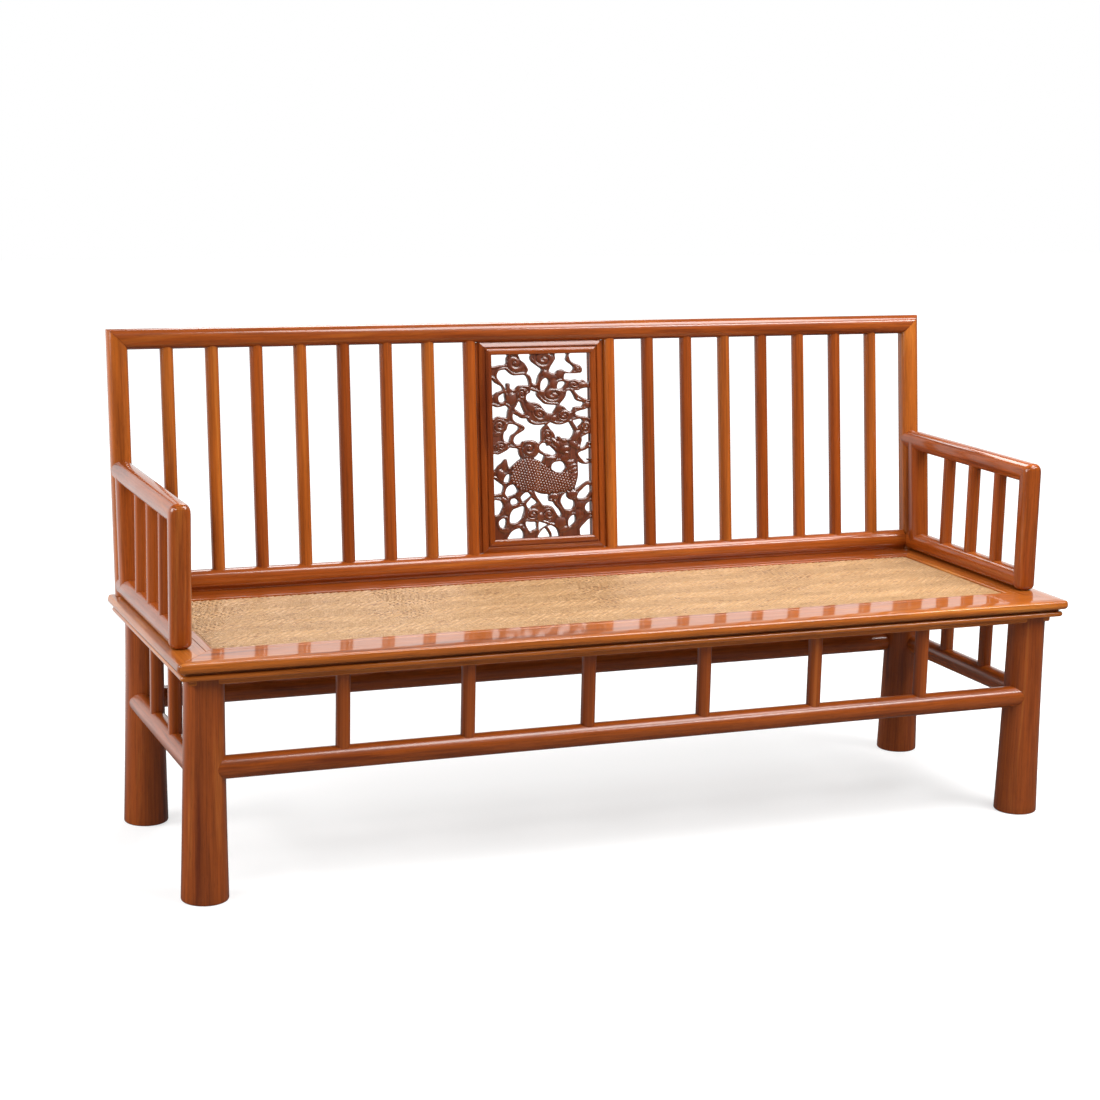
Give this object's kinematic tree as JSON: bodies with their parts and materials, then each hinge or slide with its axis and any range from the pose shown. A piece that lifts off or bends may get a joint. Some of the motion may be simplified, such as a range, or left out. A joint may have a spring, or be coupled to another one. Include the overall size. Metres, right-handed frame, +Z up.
{
  "type": "bench",
  "caption": "Long lacquered hardwood settee bench with raked spindle back, carved openwork panel, railed arms, cane seat mat, round legs and strutted stretchers.",
  "frame": {"origin": "on the floor under the middle of the bench's bounding box", "axes": "+X along the bench, to the right seen from the front; +Y towards the back; +Z up"},
  "size_m": [1.8, 0.6457, 0.9514],
  "materials": {
    "wood": "glossy red-brown lacquer",
    "carved_wood": "glossy red-brown lacquer over carving",
    "cane": "woven split cane, satin"
  },
  "bodies": {
    "root": {"arm_left_back_post": "wood", "arm_left_bottom_rail": "wood", "arm_left_front_post": "wood", "arm_left_spindle_1": "wood", "arm_left_spindle_2": "wood", "arm_left_spindle_3": "wood", "arm_left_top_rail": "wood", "arm_right_back_post": "wood", "arm_right_bottom_rail": "wood", "arm_right_front_post": "wood", "arm_right_spindle_1": "wood", "arm_right_spindle_2": "wood", "arm_right_spindle_3": "wood", "arm_right_top_rail": "wood", "back_bottom_rail": "wood", "back_post_left": "wood", "back_post_right": "wood", "back_spindle_01": "wood", "back_spindle_02": "wood", "back_spindle_03": "wood", "back_spindle_04": "wood", "back_spindle_05": "wood", "back_spindle_06": "wood", "back_spindle_07": "wood", "back_spindle_08": "wood", "back_spindle_09": "wood", "back_spindle_10": "wood", "back_spindle_11": "wood", "back_spindle_12": "wood", "back_spindle_13": "wood", "back_spindle_14": "wood", "back_spindle_15": "wood", "back_spindle_16": "wood", "back_top_rail": "wood", "carved_panel": "carved_wood", "edge_strip_back": "wood", "edge_strip_front": "wood", "edge_strip_left": "wood", "edge_strip_right": "wood", "leg_back_left": "wood", "leg_back_right": "wood", "leg_front_left": "wood", "leg_front_right": "wood", "panel_frame_bottom": "wood", "panel_frame_left": "wood", "panel_frame_right": "wood", "panel_frame_top": "wood", "seat_brace_1": "wood", "seat_brace_2": "wood", "seat_brace_3": "wood", "seat_mat": "cane", "seat_rail_back": "wood", "seat_rail_front": "wood", "seat_rail_left": "wood", "seat_rail_right": "wood", "stretcher_back": "wood", "stretcher_front": "wood", "stretcher_left": "wood", "stretcher_right": "wood"}
  },
  "joints": []
}
